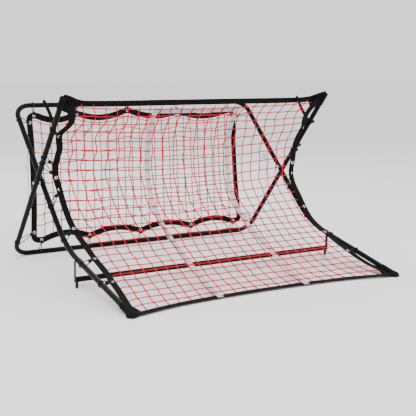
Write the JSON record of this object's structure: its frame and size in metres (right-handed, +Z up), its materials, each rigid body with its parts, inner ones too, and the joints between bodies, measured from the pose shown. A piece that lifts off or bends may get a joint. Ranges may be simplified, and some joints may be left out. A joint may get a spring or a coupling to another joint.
{
  "type": "pitch back rebounder",
  "caption": "Folding ball rebounder: two hinged tube frames carry a curved front net with target bands and an upright rear net.",
  "frame": {"origin": "on the ground under the middle of the overall box", "axes": "+X across the rebounder to its right seen from the front, -Y towards the front net and the player, +Z up"},
  "size_m": [1.8738, 1.6485, 1.0687],
  "materials": {
    "black_powder_coat": "gloss black powder coat on steel tube",
    "zinc_rod": "zinc plated steel rod",
    "zinc_hardware": "zinc plated fasteners",
    "spring_steel": "blued spring steel",
    "label_vinyl": "blank pale vinyl tag",
    "nylon": "moulded nylon",
    "black_plastic": "moulded polyethylene",
    "black_rubber": "moulded rubber",
    "red_net_twine": "braided polyester netting",
    "white_webbing": "woven polyester webbing",
    "black_webbing": "woven polyester webbing",
    "black_canvas": "woven polyester canvas",
    "brass_grommet": "pressed brass",
    "bungee_cord": "braided elastic cord",
    "ball_plastic": "moulded plastic ball"
  },
  "bodies": {
    "base_frame": {"base_corner_tube_left": "black_powder_coat", "base_corner_tube_right": "black_powder_coat", "base_leg_left": "black_powder_coat", "base_leg_right": "black_powder_coat", "base_end_plugs": "black_plastic", "pivot_bolts": "zinc_hardware", "pivot_nuts": "zinc_hardware", "pivot_washers": "nylon", "base_snap_spring_left": "spring_steel", "base_snap_spring_right": "spring_steel", "storage_straps": "black_webbing", "brace_studs": "zinc_hardware", "front_net": "red_net_twine", "front_top_band": "black_webbing", "front_side_bands": "black_webbing", "front_target_bands": "white_webbing", "top_pockets": "black_canvas", "front_grommets": "brass_grommet", "upper_bungee_cords": "bungee_cord", "upper_bungee_balls": "ball_plastic", "rear_net": "red_net_twine", "rear_border": "black_webbing", "rear_grommets": "brass_grommet", "rear_lower_cords": "bungee_cord", "rear_lower_balls": "ball_plastic"},
    "swing_frame": {"top_corner_tube_left": "black_powder_coat", "top_corner_tube_right": "black_powder_coat", "middle_leg_left": "black_powder_coat", "middle_leg_right": "black_powder_coat", "toe_tube_left": "black_powder_coat", "toe_tube_right": "black_powder_coat", "toe_end_plugs": "black_plastic", "pivot_bushes": "nylon", "top_snap_spring_left": "spring_steel", "top_snap_spring_right": "spring_steel", "toe_snap_spring_left": "spring_steel", "toe_snap_spring_right": "spring_steel", "brace_rivets": "zinc_hardware", "front_bottom_band": "black_webbing", "toe_pockets": "black_canvas", "lower_bungee_cords": "bungee_cord", "lower_bungee_balls": "ball_plastic", "rear_upper_cords": "bungee_cord", "rear_upper_balls": "ball_plastic", "stand_bolts": "zinc_hardware", "stand_nuts": "zinc_hardware"},
    "support_stand": {"stand_bar": "black_powder_coat", "stand_leg_left": "black_powder_coat", "stand_leg_right": "black_powder_coat", "stand_feet": "black_rubber"},
    "brace_left": {"brace_rod_left": "zinc_rod", "brace_tag_left": "label_vinyl"},
    "brace_right": {"brace_rod_right": "zinc_rod", "brace_tag_right": "label_vinyl"},
    "base_button_left": {"base_snap_button_left": "zinc_hardware"},
    "base_button_right": {"base_snap_button_right": "zinc_hardware"},
    "top_button_left": {"top_snap_button_left": "zinc_hardware"},
    "top_button_right": {"top_snap_button_right": "zinc_hardware"},
    "toe_button_left": {"toe_snap_button_left": "zinc_hardware"},
    "toe_button_right": {"toe_snap_button_right": "zinc_hardware"}
  },
  "joints": [
    {"name": "frame_fold", "type": "hinge", "parent": "base_frame", "child": "swing_frame", "pos_m": [0, 0.34213, 0.53451], "axis": [1, 0, 0], "range_deg": [-90, 0], "deforming": ["front_net", "front_side_bands", "front_target_bands", "front_grommets", "upper_bungee_cords", "upper_bungee_balls", "rear_net", "rear_border", "rear_grommets", "rear_lower_cords", "rear_lower_balls"]},
    {"name": "stand_fold", "type": "hinge", "parent": "swing_frame", "child": "support_stand", "pos_m": [0, -0.17906, 0.16139], "axis": [1, 0, 0], "range_deg": [0, 85]},
    {"name": "brace_swing_left", "type": "hinge", "parent": "swing_frame", "child": "brace_left", "pos_m": [-0.8965, 0.52741, 0.70972], "axis": [1, 0, 0], "range_deg": [0, 75]},
    {"name": "brace_swing_right", "type": "hinge", "parent": "swing_frame", "child": "brace_right", "pos_m": [0.8965, 0.52741, 0.70972], "axis": [1, 0, 0], "range_deg": [0, 75]},
    {"name": "base_button_press_left", "type": "slide", "parent": "base_frame", "child": "base_button_left", "axis": [-1, 0, 0], "range_m": [-0.005, 0], "stiffness_N_per_m": 900, "springref_m": 0.002, "deforming": ["base_snap_spring_left"]},
    {"name": "base_button_press_right", "type": "slide", "parent": "base_frame", "child": "base_button_right", "axis": [1, 0, 0], "range_m": [-0.005, 0], "stiffness_N_per_m": 900, "springref_m": 0.002, "deforming": ["base_snap_spring_right"]},
    {"name": "top_button_press_left", "type": "slide", "parent": "swing_frame", "child": "top_button_left", "axis": [1, 0, 0], "range_m": [-0.005, 0], "stiffness_N_per_m": 900, "springref_m": 0.002, "deforming": ["top_snap_spring_left"]},
    {"name": "top_button_press_right", "type": "slide", "parent": "swing_frame", "child": "top_button_right", "axis": [-1, 0, 0], "range_m": [-0.005, 0], "stiffness_N_per_m": 900, "springref_m": 0.002, "deforming": ["top_snap_spring_right"]},
    {"name": "toe_button_press_left", "type": "slide", "parent": "swing_frame", "child": "toe_button_left", "axis": [1, 0, 0], "range_m": [-0.005, 0], "stiffness_N_per_m": 900, "springref_m": 0.002, "deforming": ["toe_snap_spring_left"]},
    {"name": "toe_button_press_right", "type": "slide", "parent": "swing_frame", "child": "toe_button_right", "axis": [-1, 0, 0], "range_m": [-0.005, 0], "stiffness_N_per_m": 900, "springref_m": 0.002, "deforming": ["toe_snap_spring_right"]}
  ]
}
